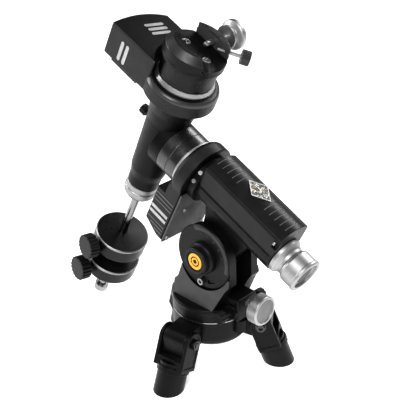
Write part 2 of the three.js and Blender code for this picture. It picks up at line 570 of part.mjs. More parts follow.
function build() {
  addTripod();
  addAzimuthHead();
  const tilt = group(mount, PIVOT, [0, LATITUDE, 0]);
  const ra = group(tilt, [0, 0, RA_HEIGHT], [0, -90, 0]);
  const dec = group(tilt, [-DEC_OFFSET, 0, RA_HEIGHT]);
  addPolarFixed(ra);
  addDrive(ra, 'ra', WHEEL_R.ra, 79.5);
  addPolarMoving(ra, dec);
  addDrive(dec, 'dec', WHEEL_R.dec, 91);
  addDeclination(dec);
}

build();

export default whole;
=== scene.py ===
"""Looks of the equatorial mount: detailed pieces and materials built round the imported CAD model."""

import json
import math

import bmesh
import bpy
from mathutils import Matrix, Vector


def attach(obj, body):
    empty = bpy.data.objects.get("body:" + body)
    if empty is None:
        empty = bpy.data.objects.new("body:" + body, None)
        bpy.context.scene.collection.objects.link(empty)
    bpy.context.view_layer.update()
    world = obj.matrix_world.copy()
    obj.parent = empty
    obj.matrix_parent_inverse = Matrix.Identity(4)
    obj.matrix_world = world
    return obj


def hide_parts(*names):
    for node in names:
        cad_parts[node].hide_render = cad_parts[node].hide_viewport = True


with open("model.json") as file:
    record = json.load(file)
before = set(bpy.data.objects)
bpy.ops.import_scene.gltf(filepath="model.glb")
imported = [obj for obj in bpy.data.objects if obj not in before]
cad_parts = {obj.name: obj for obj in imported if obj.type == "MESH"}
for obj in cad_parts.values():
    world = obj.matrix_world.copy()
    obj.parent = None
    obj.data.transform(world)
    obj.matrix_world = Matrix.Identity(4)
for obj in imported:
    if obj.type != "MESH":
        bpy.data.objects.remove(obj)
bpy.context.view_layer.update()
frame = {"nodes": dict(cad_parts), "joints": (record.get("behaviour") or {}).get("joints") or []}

MM = 0.001
GAP = 0.3
NODES = frame["nodes"]
JOINTS = {joint["name"]: joint for joint in frame["joints"]}


# ---------------------------------------------------------------- local frames, in millimetres
def local_frame(origin, x, z):
    """Matrix from a local frame in millimetres, with the given X and Z axes, to the row frame."""
    x, z = Vector(x).normalized(), Vector(z).normalized()
    y = z.cross(x)
    turn = Matrix((x, y, z)).transposed().to_4x4()
    return Matrix.Translation(Vector(origin)) @ turn @ Matrix.Scale(MM, 4)


POLE = Vector(JOINTS["ra_turn"]["axis"])
DEC_UP = Vector(JOINTS["dec_turn"]["axis"])
PIVOT = Vector(JOINTS["altitude_tilt"]["pos_m"])
DATUM = -12.0                          # heights of the lower castings are counted from here
WORLD = Matrix.Scale(MM, 4) @ Matrix.Translation((0, 0, DATUM))
RA = local_frame(JOINTS["ra_turn"]["pos_m"], DEC_UP, POLE)
DEC = local_frame(JOINTS["dec_turn"]["pos_m"], -POLE, DEC_UP)
SIDE = local_frame(PIVOT, (1, 0, 0), (0, -1, 0))     # on the altitude axle, Z to the near side


# ---------------------------------------------------------------- solids
def temp_object(bm):
    mesh = bpy.data.meshes.new("shape")
    bmesh.ops.recalc_face_normals(bm, faces=bm.faces)
    bm.to_mesh(mesh)
    bm.free()
    thing = bpy.data.objects.new("shape", mesh)
    bpy.context.scene.collection.objects.link(thing)
    return thing


def turned(profile, segments=96):
    """Solid of revolution about Z from [radius, z] points, from axis to axis."""
    bm = bmesh.new()
    rings = []
    for r, z in profile:
        if r == 0:
            rings.append([bm.verts.new((0, 0, z))])
        else:
            rings.append([bm.verts.new((r * math.cos(a), r * math.sin(a), z))
                          for a in (2 * math.pi * k / segments for k in range(segments))])
    pairs = list(zip(rings, rings[1:]))
    if profile[0][0] != 0:
        pairs.append((rings[-1], rings[0]))
    for low, high in pairs:
        for k in range(segments):
            corners = []
            for vert in (low[k % len(low)], low[(k + 1) % len(low)],
                         high[(k + 1) % len(high)], high[k % len(high)]):
                if vert not in corners:
                    corners.append(vert)
            bm.faces.new(corners)
    return temp_object(bm)


def rod(radius, z0, z1, segments=64, top=None):
    top = radius if top is None else top
    return turned([[0, z0], [radius, z0], [top, z1], [0, z1]], segments)


def tube(outer, inner, z0, z1, segments=96):
    return turned([[inner, z0], [outer, z0], [outer, z1], [inner, z1]], segments)


def prism(outline, z0, z1):
    """Extrudes an outline of [x, y] points along Z."""
    bm = bmesh.new()
    low = [bm.verts.new((x, y, z0)) for x, y in outline]
    high = [bm.verts.new((x, y, z1)) for x, y in outline]
    bm.faces.new(low[::-1])
    bm.faces.new(high)
    for k in range(len(outline)):
        n = (k + 1) % len(outline)
        bm.faces.new((low[k], low[n], high[n], high[k]))
    return temp_object(bm)


def block(x0, x1, y0, y1, z0, z1):
    return prism([[x0, y0], [x1, y0], [x1, y1], [x0, y1]], z0, z1)


def arc(cx, cy, r, start, end, steps):
    return [[cx + r * math.cos(a), cy + r * math.sin(a)]
            for a in (math.radians(start + (end - start) * k / steps) for k in range(steps + 1))]


def lie(thing, x=0.0, y=0.0, z=0.0, at=(0, 0, 0)):
    """Turns a shape about X, then Y, then Z, in degrees, and moves it."""
    turn = (Matrix.Rotation(math.radians(z), 4, "Z") @ Matrix.Rotation(math.radians(y), 4, "Y")
            @ Matrix.Rotation(math.radians(x), 4, "X"))
    thing.data.transform(Matrix.Translation(at) @ turn)
    return thing


def along_x(thing, at=(0, 0, 0)):
    return lie(thing, y=90, at=at)


def along_y(thing, at=(0, 0, 0)):
    return lie(thing, x=-90, at=at)


def along_minus_y(thing, at=(0, 0, 0)):
    return lie(thing, x=90, at=at)


def side_prism(outline, y0, y1):
    """Extrudes a side view of [x, z] points across Y."""
    return lie(prism(outline, -y1, -y0), x=90)


def baked(thing):
    """Applies a shape's modifiers to its mesh."""
    graph = bpy.context.evaluated_depsgraph_get()
    mesh = bpy.data.meshes.new_from_object(thing.evaluated_get(graph), depsgraph=graph)
    thing.modifiers.clear()
    thing.data = mesh
    return thing


def combine(base, tools, operation):
    for tool in tools:
        step = base.modifiers.new("combine", "BOOLEAN")
        step.operation = operation
        step.solver = "EXACT"
        step.object = tool
    baked(base)
    for tool in tools:
        bpy.data.objects.remove(tool)
    return base


def join(base, *tools):
    return combine(base, tools, "UNION")


def cut(base, *tools):
    return combine(base, tools, "DIFFERENCE")


def common(base, tool):
    return combine(base, [tool], "INTERSECT")


def soft(thing, width, steps=3, limit=28):
    """Rounds the edges of a plain shape before it is joined or cut."""
    rounding = thing.modifiers.new("edges", "BEVEL")
    rounding.width = width
    rounding.segments = steps
    rounding.limit_method = "ANGLE"
    rounding.angle_limit = math.radians(limit)
    return baked(thing)


def piece(name, thing, place, body, material, replaces=(), pick=None):
    """Finishes a shape made in a local frame, puts it in its place and rides it on its body."""
    thing.name = name
    mesh = thing.data
    mesh.name = name
    mesh.materials.clear()
    for one in (material if isinstance(material, (list, tuple)) else [material]):
        mesh.materials.append(one)
    for face in mesh.polygons:
        face.material_index = pick(face.center, face.normal) if pick else 0
    mesh.transform(place)
    mesh.polygons.foreach_set("use_smooth", [True] * len(mesh.polygons))
    mesh.set_sharp_from_angle(angle=math.radians(38))
    weigh = thing.modifiers.new("normals", "WEIGHTED_NORMAL")
    weigh.keep_sharp = True
    weigh.weight = 70
    baked(thing)
    if replaces:
        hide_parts(*replaces)
    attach(thing, body)
    return thing


# ---------------------------------------------------------------- materials
def new_material(name, color, roughness, metallic=0.0):
    mat = bpy.data.materials.new(name)
    mat.use_nodes = True
    shader = mat.node_tree.nodes["Principled BSDF"]
    shader.inputs["Base Color"].default_value = (*color, 1)
    shader.inputs["Roughness"].default_value = roughness
    shader.inputs["Metallic"].default_value = metallic
    return mat


def noise(mat, scale, detail=3.0, stretch=None, rotation=None):
    """Noise in object coordinates, its grain drawn out by stretch along turned axes."""
    nodes, links = mat.node_tree.nodes, mat.node_tree.links
    place = nodes.new("ShaderNodeTexCoord")
    texture = nodes.new("ShaderNodeTexNoise")
    texture.inputs["Scale"].default_value = scale
    texture.inputs["Detail"].default_value = detail
    source = place.outputs["Object"]
    if rotation is not None:
        turn = nodes.new("ShaderNodeMapping")
        turn.inputs["Rotation"].default_value = rotation
        links.new(source, turn.inputs["Vector"])
        source = turn.outputs["Vector"]
    if stretch is not None:
        draw = nodes.new("ShaderNodeMapping")
        draw.inputs["Scale"].default_value = stretch
        links.new(source, draw.inputs["Vector"])
        source = draw.outputs["Vector"]
    links.new(source, texture.inputs["Vector"])
    return texture.outputs["Fac"]


def spread(mat, factor, low, high):
    """Maps a noise factor to the range low to high."""
    node = mat.node_tree.nodes.new("ShaderNodeMapRange")
    node.inputs["From Min"].default_value = 0.3
    node.inputs["From Max"].default_value = 0.7
    node.inputs["To Min"].default_value = low
    node.inputs["To Max"].default_value = high
    mat.node_tree.links.new(factor, node.inputs["Value"])
    return node.outputs["Result"]


def blend_colors(mat, factor, first, second):
    node = mat.node_tree.nodes.new("ShaderNodeMix")
    node.data_type = "RGBA"
    node.inputs[6].default_value = (*first, 1)
    node.inputs[7].default_value = (*second, 1)
    mat.node_tree.links.new(factor, node.inputs["Factor"])
    return node.outputs[2]


def shader_of(mat):
    return mat.node_tree.nodes["Principled BSDF"]


def link(mat, output, socket):
    mat.node_tree.links.new(output, shader_of(mat).inputs[socket])


def bumps(mat, *layers):
    """Adds bump layers, each a noise factor, its strength and its height in metres."""
    nodes, links = mat.node_tree.nodes, mat.node_tree.links
    last = None
    for factor, strength, height in layers:
        bump = nodes.new("ShaderNodeBump")
        bump.inputs["Strength"].default_value = strength
        bump.inputs["Distance"].default_value = height
        links.new(factor, bump.inputs["Height"])
        if last is not None:
            links.new(last, bump.inputs["Normal"])
        last = bump.outputs["Normal"]
    link(mat, last, "Normal")


def painted(name, color, roughness, grain=1400, depth=0.25, specular=0.2):
    """Satin paint on a casting: faint mottling and an orange-peel surface."""
    mat = new_material(name, color, roughness)
    shader_of(mat).inputs["Specular IOR Level"].default_value = specular
    soft = noise(mat, 45, 4)
    lighter = tuple(min(1, c * 1.4 + 0.001) for c in color)
    link(mat, blend_colors(mat, spread(mat, soft, 0, 1), color, lighter), "Base Color")
    link(mat, spread(mat, noise(mat, 160, 5), roughness - 0.05, roughness + 0.07), "Roughness")
    bumps(mat, (noise(mat, grain, 2), depth, 0.00025), (noise(mat, 220, 2), 0.12, 0.0003))
    return mat


def lathe_turned(name, color, roughness, axis, metallic=1.0, depth=0.25):
    """Turned metal: fine rings round the given axis."""
    mat = new_material(name, color, roughness, metallic)
    turn = Vector(axis).rotation_difference(Vector((0, 0, 1))).to_euler("XYZ")
    rings = noise(mat, 1, 4, stretch=(12, 12, 1700), rotation=turn)
    darker = tuple(c * 0.82 for c in color)
    link(mat, blend_colors(mat, spread(mat, rings, 0, 1), darker, color), "Base Color")
    link(mat, spread(mat, noise(mat, 120, 3), roughness - 0.05, roughness + 0.06), "Roughness")
    bumps(mat, (rings, depth, 0.00012))
    return mat


CASTING = painted("black_casting", (0.0045, 0.0045, 0.0048), 0.36)
ROUGH_CASTING = painted("rough_casting", (0.003, 0.003, 0.0032), 0.4, grain=900, depth=0.6, specular=0.16)
# lighter grey for the leaning facets under the latitude disc: painted light, standing in for the light they
# catch
FACET_PAINTED_LIGHT = painted("facet_painted_light", (0.055, 0.055, 0.056), 0.5)
COVER = painted("grey_cover", (0.014, 0.014, 0.0145), 0.34, grain=1900, depth=0.15)
# lighter grey for the side walls of both gear housings: painted light, standing in for the light the walls
# catch
BOX_SIDE_PAINTED_LIGHT = painted("box_side_painted_light", (0.018, 0.018, 0.0185), 0.42)
PLATE = painted("grey_plate", (0.075, 0.075, 0.077), 0.45)
DIAL_FACE = painted("dial_face", (0.17, 0.17, 0.172), 0.4, specular=0.5)
TUBE = painted("black_tube", (0.007, 0.007, 0.0075), 0.34, grain=2200, depth=0.2)
KNOB = painted("black_knob", (0.009, 0.009, 0.0095), 0.40, grain=2500, depth=0.2)
KNOB_FACE = painted("grey_knob_face", (0.008, 0.008, 0.0083), 0.36)
GREY_MARK = painted("scale_grey", (0.045, 0.045, 0.045), 0.45)
GREY_LINE = painted("grey_line", (0.13, 0.13, 0.13), 0.4)
WHITE_BAR = painted("silver_bar", (0.36, 0.36, 0.36), 0.38, specular=0.5)
WEIGHT = painted("weight_enamel", (0.007, 0.007, 0.0075), 0.31, grain=700, depth=0.25)
BOARD = painted("green_board", (0.01, 0.09, 0.035), 0.45)
BLACK_INK = painted("black_ink", (0.004, 0.004, 0.004), 0.4)
ORANGE = painted("orange_insert", (0.80, 0.36, 0.02), 0.32, specular=0.4)
# lighter, glossier grey for the rounded upper edges of the declination box: a painted highlight
EDGE_HIGHLIGHT = painted("edge_painted_highlight", (0.035, 0.035, 0.036), 0.32, specular=0.6)
SHOULDER = lathe_turned("saddle_shoulder", (0.05, 0.05, 0.05), 0.42, DEC_UP, 0.5)
# lighter grey for the inner face of the far saddle jaw: painted light, standing in for the lamps it faces
JAW_FACE_PAINTED_LIGHT = painted("jaw_face_painted_light", (0.045, 0.045, 0.046), 0.38)
CLUTCH = painted("clutch_black", (0.002, 0.002, 0.0021), 0.3, grain=2600, depth=0.05, specular=0.3)
SILVER = {
    "ra": lathe_turned("silver_ra", (0.50, 0.50, 0.50), 0.5, POLE),
    "dec": lathe_turned("silver_dec", (0.40, 0.40, 0.40), 0.46, DEC_UP),
    "x": lathe_turned("silver_x", (0.50, 0.50, 0.50), 0.42, (1, 0, 0)),
    "y": lathe_turned("silver_y", (0.48, 0.48, 0.48), 0.45, (0, 1, 0)),
    "z": lathe_turned("silver_z", (0.36, 0.36, 0.36), 0.34, (0, 0, 1)),
}
NECK = {
    "ra": lathe_turned("dark_metal_ra", (0.11, 0.11, 0.112), 0.3, POLE, 0.9),
    "dec": lathe_turned("dark_metal_dec", (0.05, 0.05, 0.052), 0.36, DEC_UP, 0.7),
}
WEIGHT_SIDE = lathe_turned("weight_side", (0.022, 0.022, 0.0225), 0.33, DEC_UP, 0.7)
KNURL = lathe_turned("knurled_grey", (0.10, 0.10, 0.10), 0.4, (0, 1, 0), 0.7)
DARK_STEEL = lathe_turned("dark_steel", (0.09, 0.09, 0.092), 0.32, (0, 0, 1))
STEEL = lathe_turned("steel", (0.62, 0.63, 0.64), 0.28, (0, 0, 1))
CHROME = lathe_turned("chrome", (0.30, 0.30, 0.30), 0.14, DEC_UP, 1.0, 0.03)
BRASS = lathe_turned("brass", (0.66, 0.46, 0.17), 0.3, (0, 1, 0))


def speckled_badge():
    """Fine mosaic of silver, dark and pale gold specks."""
    mat = new_material("badge_mosaic", (0.2, 0.2, 0.2), 0.42, 0.3)
    nodes, links = mat.node_tree.nodes, mat.node_tree.links
    place = nodes.new("ShaderNodeTexCoord")
    cells = nodes.new("ShaderNodeTexVoronoi")
    cells.inputs["Scale"].default_value = 620
    ramp = nodes.new("ShaderNodeValToRGB")
    ramp.color_ramp.interpolation = "CONSTANT"
    stops = ramp.color_ramp.elements
    stops[0].color = (0.035, 0.035, 0.035, 1)
    stops[1].position = 0.55
    stops[1].color = (0.14, 0.14, 0.14, 1)
    pale = stops.new(0.78)
    pale.color = (0.70, 0.69, 0.65, 1)
    gold = stops.new(0.93)
    gold.color = (0.55, 0.42, 0.16, 1)
    links.new(place.outputs["Object"], cells.inputs["Vector"])
    split = nodes.new("ShaderNodeSeparateColor")
    links.new(cells.outputs["Color"], split.inputs["Color"])
    links.new(split.outputs["Red"], ramp.inputs["Fac"])
    link(mat, ramp.outputs["Color"], "Base Color")
    bumps(mat, (split.outputs["Red"], 0.5, 0.0002))
    return mat


BADGE = speckled_badge()


def carry(material, *names):
    """Gives a CAD node that keeps its shape a finished material."""
    for name in names:
        mesh = NODES[name].data
        mesh.materials.clear()
        mesh.materials.append(material)


# ---------------------------------------------------------------- small fittings
def hex_screw(radius, height):
    """Round socket head with its seat at z = 0."""
    return cut(rod(radius, 0, height, 40), rod(radius * 0.55, height * 0.4, height + 1, 6))


def fluted(radius, z0, z1, flutes, depth):
    """Round knob with rounded flutes."""
    steps = flutes * 8
    outline = []
    for k in range(steps):
        swell = 0.5 + 0.5 * math.cos(2 * math.pi * k / 8)
        r = radius - depth * (1 - swell) ** 2
        outline.append([r * math.cos(2 * math.pi * k / steps), r * math.sin(2 * math.pi * k / steps)])
    return prism(outline, z0, z1)


def rounded_bar(length, width, z0, z1):
    """Bar with round ends along X."""
    r = width / 2
    reach = length / 2 - r
    return prism(arc(reach, 0, r, -90, 90, 10) + arc(-reach, 0, r, 90, 270, 10), z0, z1)


def round_profile(profile, radius, steps=4):
    """Rounds the corners of a lathe profile, apart from the points on the axis."""
    out = []
    last = len(profile) - 1
    for k, point in enumerate(profile):
        if k in (0, last) or point[0] == 0:
            out.append(point)
            continue
        here = Vector(point)
        back = Vector(profile[k - 1]) - here
        ahead = Vector(profile[k + 1]) - here
        reach = min(radius, 0.45 * back.length, 0.45 * ahead.length)
        start = here + back.normalized() * reach
        end = here + ahead.normalized() * reach
        for n in range(steps + 1):
            t = n / steps
            spot = start * (1 - t) ** 2 + here * (2 * t * (1 - t)) + end * t ** 2
            out.append([spot.x, spot.y])
    return out


# ---------------------------------------------------------------- tripod
HINGE_R = 76.0
HINGE_Z = 84.0
LEG_JOINTS = [JOINTS[f"leg_{n}_fold"] for n in (1, 2, 3)]
SPLAY = 21.0
HEAD_R = 56.0
FORK = 20.0
CHEEK = 5.5
TUBE_R = 22.2


def leg_angle(joint):
    return math.degrees(math.atan2(joint["pos_m"][1], joint["pos_m"][0]))


def knuckle(angle):
    outline = ([[30, 74], [62, 63], [92.5, 63]] + arc(HINGE_R, HINGE_Z, 16.5, 0, 75, 12)
               + [[54, 101], [30, 101]])
    lug = soft(side_prism(outline, -19.2, 19.2), 2.2)
    return lie(lug, z=angle)


def tripod_head():
    bowl = turned(round_profile([[0, 60], [20, 60], [46, 62], [54, 69], [HEAD_R, 77], [HEAD_R, 104.6],
                                 [HEAD_R - 1.4, 104.8], [0, 104.8]], 3), 128)
    angles = [leg_angle(joint) for joint in LEG_JOINTS]
    boss = rod(10, 85, 104.7)
    boss.data.transform(Matrix.Translation((58, 0, 0)))
    bores = [lie(along_y(rod(5, -40, 40, 32), (HINGE_R, 0, HINGE_Z)), z=a) for a in angles]
    head = join(bowl, boss, *[knuckle(a) for a in angles])
    cut(head, *bores, rod(8.5, 0, 200), rod(26, 0, 84), lie(rod(5.3, 80, 200), at=(58, 0, 0)))
    piece("tripod_head_casting", head, WORLD, "tripod", CASTING, ["tripod_head"])
    seam = tube(HEAD_R + 0.1, 50, 104.85, 105.8, 128)
    piece("tripod_head_seat", seam, WORLD, "tripod", STEEL)


def leg_frame(joint):
    out = Vector((joint["pos_m"][0], joint["pos_m"][1], 0)).normalized()
    tilt = math.radians(SPLAY)
    x = out * math.cos(tilt) + Vector((0, 0, math.sin(tilt)))
    z = Vector((0, 0, math.cos(tilt))) - out * math.sin(tilt)
    return local_frame(joint["pos_m"], x, z)


def leg_casting():
    side = [[-17, -44], [17, -44]] + arc(0, 0, 17, 0, 180, 24)
    panel = [[-13, -38], [13, -38]] + arc(0, 0, 13, 0, 180, 20)
    outer = FORK + CHEEK
    cheeks = [soft(side_prism(side, FORK, outer), 1.2), soft(side_prism(side, -outer, -FORK), 1.2)]
    floor = soft(block(-17, 17, -outer, outer, -44, -28), 1.5)
    sleeve = soft(rod(24.2, -49, -40, 80), 0.8)
    fork = join(floor, *cheeks, sleeve)
    recesses = [soft(side_prism(panel, outer - 1, outer + 2), 0.6),
                soft(side_prism(panel, -outer - 2, 1 - outer), 0.6)]
    return cut(fork, *recesses, rod(TUBE_R + GAP, -60, -34, 80), along_y(rod(5, -40, 40, 32)))


def leg_tube():
    length = HINGE_Z + DATUM
    reach = length / math.cos(math.radians(SPLAY))
    floor = lie(block(-80, 80, -80, 80, -80, 0), y=SPLAY, at=(0, 0, -reach))
    return soft(cut(tube(TUBE_R, TUBE_R - 2, -reach - 20, -34.3, 80), floor), 0.35, 2)


def leg_bolt():
    reach = FORK + CHEEK - 1 + GAP
    washer = soft(rod(8, reach, reach + 1, 48), 0.3, 2)
    head = soft(cut(rod(6.2, reach + 1, reach + 5, 48), rod(3.4, reach + 2.4, reach + 9, 6)), 0.4, 2)
    nut = soft(rod(8, -reach - 6, -reach, 6), 0.6, 2)
    return join(rod(4.6, -reach - 7, reach + 2, 32), washer, head, nut)


def legs():
    for number, joint in enumerate(LEG_JOINTS, 1):
        place = leg_frame(joint)
        body = f"leg_{number}"
        piece(f"leg_casting_{number}", leg_casting(), place, body, CASTING,
              [f"leg_socket_{number}"])
        piece(f"leg_pipe_{number}", leg_tube(), place, body, TUBE, [f"leg_tube_{number}"])
        piece(f"leg_hinge_bolt_{number}", along_minus_y(leg_bolt()), place, "tripod", DARK_STEEL,
              [f"leg_bolt_{number}"])


# ---------------------------------------------------------------- azimuth head
BASE_TOP = 127.0
PX, PZ = PIVOT.x / MM, PIVOT.z / MM - DATUM
DISC_R = 49.5
YOKE_IN = 16.0
YOKE_OUT = 29.0
FACE = YOKE_OUT + GAP
LOCK_DROP = 38.0
NUMERAL_R = 37.6
PEG_X = 58.0
AZ_SCREW_Z = 126.0
ALT_SCREW_Z = 137.0


def yoke_block():
    outline = ([[-39, 126], [39, 126], [57, 163], [PX + DISC_R, 172]]
               + arc(PX, PZ, DISC_R - 1.5, 0, 210, 60) + [[-33, 155], [-39, 149]])
    half = [[41, BASE_TOP - 2], [31, 182], [29, 184], [29, 260]]
    section = half + [[-y, z] for y, z in half[::-1]]
    lean = along_x(prism([[-z, y] for y, z in section], -80, 80))
    return common(soft(side_prism(outline, -60, 60), 0.8, 2), lean)


def azimuth_casting():
    base = turned(round_profile([[0, 106], [HEAD_R - 0.8, 106], [HEAD_R, 107], [56.3, 118], [55.6, 118.6],
                                 [56.4, 119.2], [56.6, 124], [55, BASE_TOP], [0, BASE_TOP]], 0.7), 128)
    tower = soft(block(36, 71, -20, 20, 112, 148), 3)
    boss = soft(along_y(rod(11.5, -23, 23)), 1)
    boss.data.transform(Matrix.Translation((PEG_X, 0, AZ_SCREW_Z)))
    body = yoke_block()
    discs = [along_y(rod(DISC_R + 0.6, low, high, 96), (PX, 0, PZ)) for low, high in ((-80, -29), (29, 80))]
    cut(body, *discs, block(-60, 42, -YOKE_IN, YOKE_IN, BASE_TOP + 1, 300),
        block(41, 80, -YOKE_IN, YOKE_IN, 150, 300), along_y(rod(8.3, -60, 60), (PX, 0, PZ)))
    whole = join(base, body, tower, boss)
    return cut(whole, block(46, 66, -14.5, 14.5, 100, 132), block(-60, 42, -YOKE_IN, YOKE_IN, 128, 200),
               along_y(rod(4.3, -40, 40), (PEG_X, 0, AZ_SCREW_Z)),
               along_x(rod(5.2, 20, 90), (0, 0, ALT_SCREW_Z)), rod(8.3, 90, 200), rod(17, 120, 200, 6),
               along_y(rod(2.9, -60, 8 - YOKE_OUT), (PX, 0, PZ - LOCK_DROP)))


def is_facet(center, normal):
    """Picks the leaning sides of the block under the latitude disc, for the lighter grey that paints in the
    light they catch.
    """
    return 1 if abs(normal.y) > 0.97 and normal.z > 0.1 and center.x < 30 else 0


def scale_ticks(radius, length, start, end, step, height, width=0.5):
    """Thin radial bars about Z, every second one longer."""
    bars = []
    for n in range(int(round((end - start) / step)) + 1):
        long_bar = length if n % 2 == 0 else length * 0.6
        bar = block(radius - long_bar, radius, -width / 2, width / 2, *height)
        bars.append(lie(bar, z=start + n * step))
    return merged(bars)


def merged(things):
    """Puts shapes that don't touch into one mesh."""
    bm = bmesh.new()
    for thing in things:
        bm.from_mesh(thing.data)
        bpy.data.objects.remove(thing)
    return temp_object(bm)


def dial_number(text, size, depth):
    """Numeral for a dial, centred on the origin, standing from z = 0."""
    curve = bpy.data.curves.new("numeral", "FONT")
    curve.body = text
    curve.size = size
    curve.align_x = "CENTER"
    curve.align_y = "CENTER"
    curve.extrude = depth
    letter = bpy.data.objects.new("numeral", curve)
    bpy.context.scene.collection.objects.link(letter)
    graph = bpy.context.evaluated_depsgraph_get()
    mesh = bpy.data.meshes.new_from_object(letter.evaluated_get(graph))
    bpy.data.objects.remove(letter)
    thing = bpy.data.objects.new("numeral", mesh)
    bpy.context.scene.collection.objects.link(thing)
    return thing


def latitude_disc():
    disc = turned(round_profile([[0, FACE], [DISC_R, FACE], [DISC_R, FACE + 1.6], [DISC_R - 1.4, FACE + 3],
                                 [0, FACE + 3]], 0.6), 144)
    slot = prism(arc(0, 0, LOCK_DROP + 3, -76, -56, 12) + arc(0, 0, LOCK_DROP - 3, -56, -76, 12),
                 FACE + 0.8, 60)
    cut(disc, rod(8.3, 0, 60), lie(rod(2.9, 0, 60), at=(0, -LOCK_DROP, 0)), slot)
    piece("latitude_plate", disc, SIDE, "azimuth", CASTING, ["latitude_disc"])
    band = prism(arc(0, 0, 47.6, -14, 112, 60) + arc(0, 0, 41.5, 112, -14, 60), FACE + 2.9, FACE + 3.2)
    piece("latitude_scale", band, SIDE, "azimuth", GREY_MARK)
    ticks = scale_ticks(47.2, 3.4, -10, 108, 2.95, (FACE + 3.1, FACE + 3.3), 0.45)
    piece("latitude_scale_ticks", ticks, SIDE, "azimuth", BLACK_INK)
    for n, degrees in enumerate((60, 50, 40, 30, 20, 10)):
        a = -2 + 20 * n
        numeral = lie(dial_number(str(degrees), 4.6, 0.12), z=a - 90)
        across, up = (NUMERAL_R * turn(math.radians(a)) for turn in (math.cos, math.sin))
        numeral.data.transform(Matrix.Translation((across, up, FACE + 3.1)))
        piece(f"latitude_number_{degrees}", numeral, SIDE, "azimuth", GREY_MARK)


def altitude_cap():
    cap = turned(round_profile([[0, 39.3], [9, 39.3], [9, 32.6], [24, 32.6], [24, 38.3], [22, 40.3],
                                [20.5, 40.3], [20.5, 47.8], [19, 49.3], [15, 49.3], [15, 47.8], [0, 47.8]],
                               0.9), 96)
    piece("altitude_cap_shell", cap, SIDE, "azimuth", KNOB, ["altitude_cap"])
    disc = rod(14.6, 48.1, 48.7, 96)
    rings = [tube(12.4, 8.0, 48.7, 49.1), tube(6.0, 3.4, 48.7, 49.1)]
    piece("altitude_insert", disc, SIDE, "azimuth", BLACK_INK, ["altitude_badge"])
    piece("altitude_insert_rings", merged(rings), SIDE, "azimuth", ORANGE)
    screw = soft(hex_screw(5.2, 6.2), 0.5, 2)
    screw = join(screw, rod(2.6, -8, 0.5, 32))
    screw.data.transform(Matrix.Translation((0, -LOCK_DROP, FACE + 3.3)))
    piece("latitude_lock_head", screw, SIDE, "latitude_lock", SILVER["z"], ["latitude_lock_screw"])
    cover = turned(round_profile([[0, -47], [18, -47], [21, -44], [21, -FACE], [17, -FACE], [17, -41],
                                  [0, -41]], 1.2), 96)
    piece("far_nut_cover", cover, SIDE, "azimuth", KNOB, ["altitude_nut_cover"])


def knurled(radius, z0, z1, teeth, depth):
    """Grip with fine straight ribs."""
    outline = []
    for k in range(teeth * 4):
        r = radius - (depth if k % 4 in (0, 1) else 0)
        a = 2 * math.pi * k / (teeth * 4)
        outline.append([r * math.cos(a), r * math.sin(a)])
    return prism(outline, z0, z1)


def adjusting_knobs():
    grip = turned(round_profile([[0, 87], [21.2, 87], [22.2, 88], [22.2, 103], [20.8, 104.5], [18, 104.5],
                                 [18, 102.6], [0, 102.6]], 0.7), 128)
    grooves = [tube(23, 21.9, z, z + 0.7, 96) for z in (90.2, 92, 93.8, 95.6, 97.4, 99.2, 101)]
    grip = join(rod(4.9, 30, 88, 40), cut(grip, *grooves))
    piece("altitude_knob_grip", along_x(grip, (0, 0, ALT_SCREW_Z)), WORLD, "altitude_knob", SILVER["x"],
          ["altitude_knob"])
    face = along_x(rod(17.6, 102.5, 102.9, 96), (0, 0, ALT_SCREW_Z))
    piece("altitude_knob_face", face, WORLD, "altitude_knob", DIAL_FACE)
    for side, turn in (("near", along_minus_y), ("far", along_y)):
        knob = join(rod(4, 5.6, 37, 32), soft(fluted(9, 36, 48, 10, 1.1), 0.8, 2, 60))
        piece(f"azimuth_screw_{side}", turn(knob, (PEG_X, 0, AZ_SCREW_Z)), WORLD, f"azimuth_knob_{side}",
              KNOB, [f"azimuth_knob_{side}"])


# ---------------------------------------------------------------- polar axis, fixed side
HOOD_HALF = 30.0
HOOD_Z = (-88.5, 56.7)


def hood_section(half, low, shoulder, crown):
    """Section of the hood with a smooth crown."""
    rise = crown - shoulder
    chord = half - 5
    radius = (chord * chord + rise * rise) / (2 * rise)
    spread_angle = math.degrees(math.asin(chord / radius))
    crown_arc = arc(crown - radius, 0, radius, -spread_angle, spread_angle, 24)
    near = [[low, -half], [shoulder - 5, -half], [shoulder - 1.5, 1.5 - half]]
    far = [[shoulder - 1.5, half - 1.5], [shoulder - 5, half], [low, half]]
    return near + crown_arc + far


def hood():
    rear, front = HOOD_Z
    shell = soft(prism(hood_section(HOOD_HALF, 10.3, 43, 50), rear, front), 1.0, 3, 20)
    inside = prism(hood_section(27, 9, 40, 47), rear + 3.5, front - 4.7)
    lines = [52 - 9.6 * n for n in range(5)] + [-40 - 10.1 * n for n in range(5)]
    grooves = [block(40, 60, -15, 12, z - 0.75, z + 0.75) for z in lines]
    notch = soft(block(23, 37, -40, -24.5, rear - 20, rear + 8), 1)
    cut(shell, inside, rod(20, rear - 10, front), *grooves, notch)
    piece("polar_hood", shell, RA, "polar_housing", COVER, ["ra_cover"])
    skin = cut(prism(hood_section(HOOD_HALF, 10.3, 42.75, 49.75), rear, front),
               prism(hood_section(HOOD_HALF - 0.5, 9, 41.5, 48.5), rear - 1, front + 1))
    strips = merged([block(40, 60, -14.6, 11.6, z - 0.55, z + 0.55) for z in lines])
    piece("polar_hood_lines", common(skin, strips), RA, "polar_housing", GREY_LINE)
    screw = lie(soft(hex_screw(3.1, 2.6), 0.3, 2), x=180, at=(29.5, -27, rear + 7.8))
    piece("polar_hood_screw", screw, RA, "polar_housing", SILVER["ra"])


